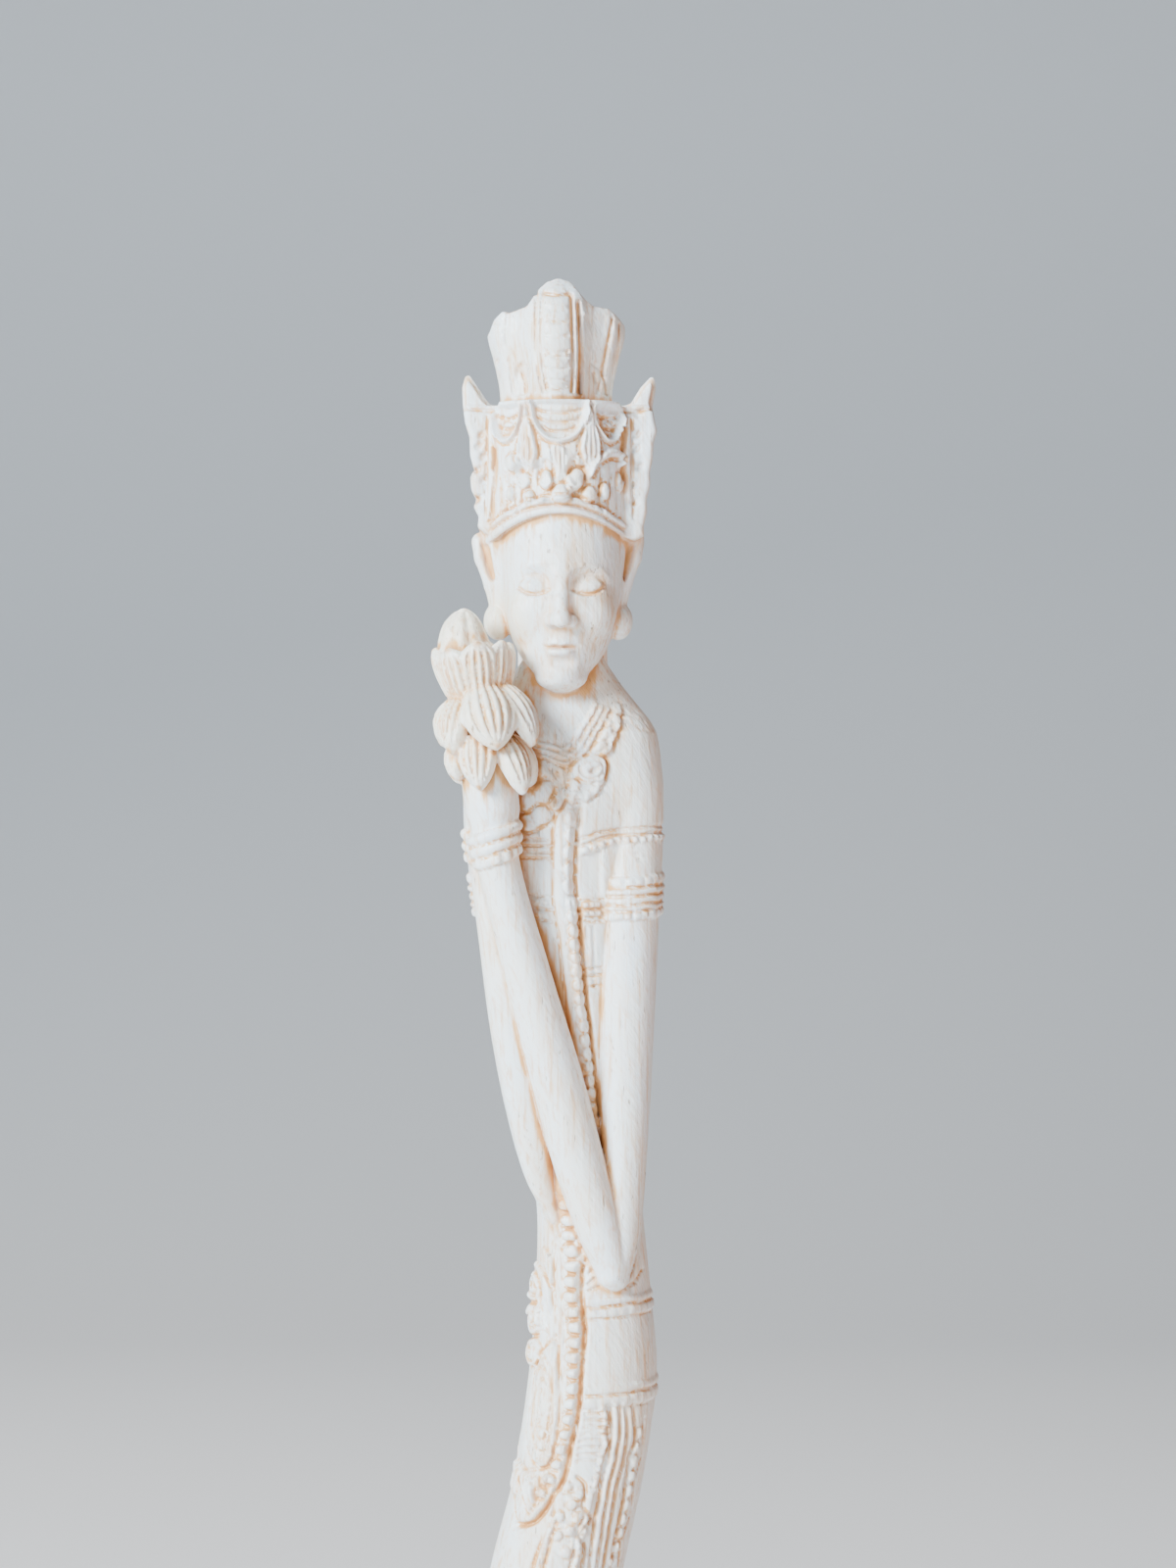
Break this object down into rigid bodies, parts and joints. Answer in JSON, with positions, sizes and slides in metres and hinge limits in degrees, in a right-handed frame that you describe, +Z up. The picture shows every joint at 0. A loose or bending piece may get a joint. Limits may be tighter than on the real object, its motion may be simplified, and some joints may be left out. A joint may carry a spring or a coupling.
{
  "type": "carved bone statue",
  "caption": "Slender standing figure carved from one length of bone, crowned, holding a lotus at the shoulder, in a long folded skirt on a low round petalled base.",
  "frame": {"origin": "middle of the flat underside of the base", "axes": "+Z up along the figure, -Y the way it faces, +X towards its left side"},
  "size_m": [0.0538, 0.0508, 0.372],
  "materials": {
    "bone": "carved and lightly polished bone, warm ivory with ochre in the recesses"
  },
  "bodies": {
    "root": {"statue": "bone"}
  },
  "joints": []
}
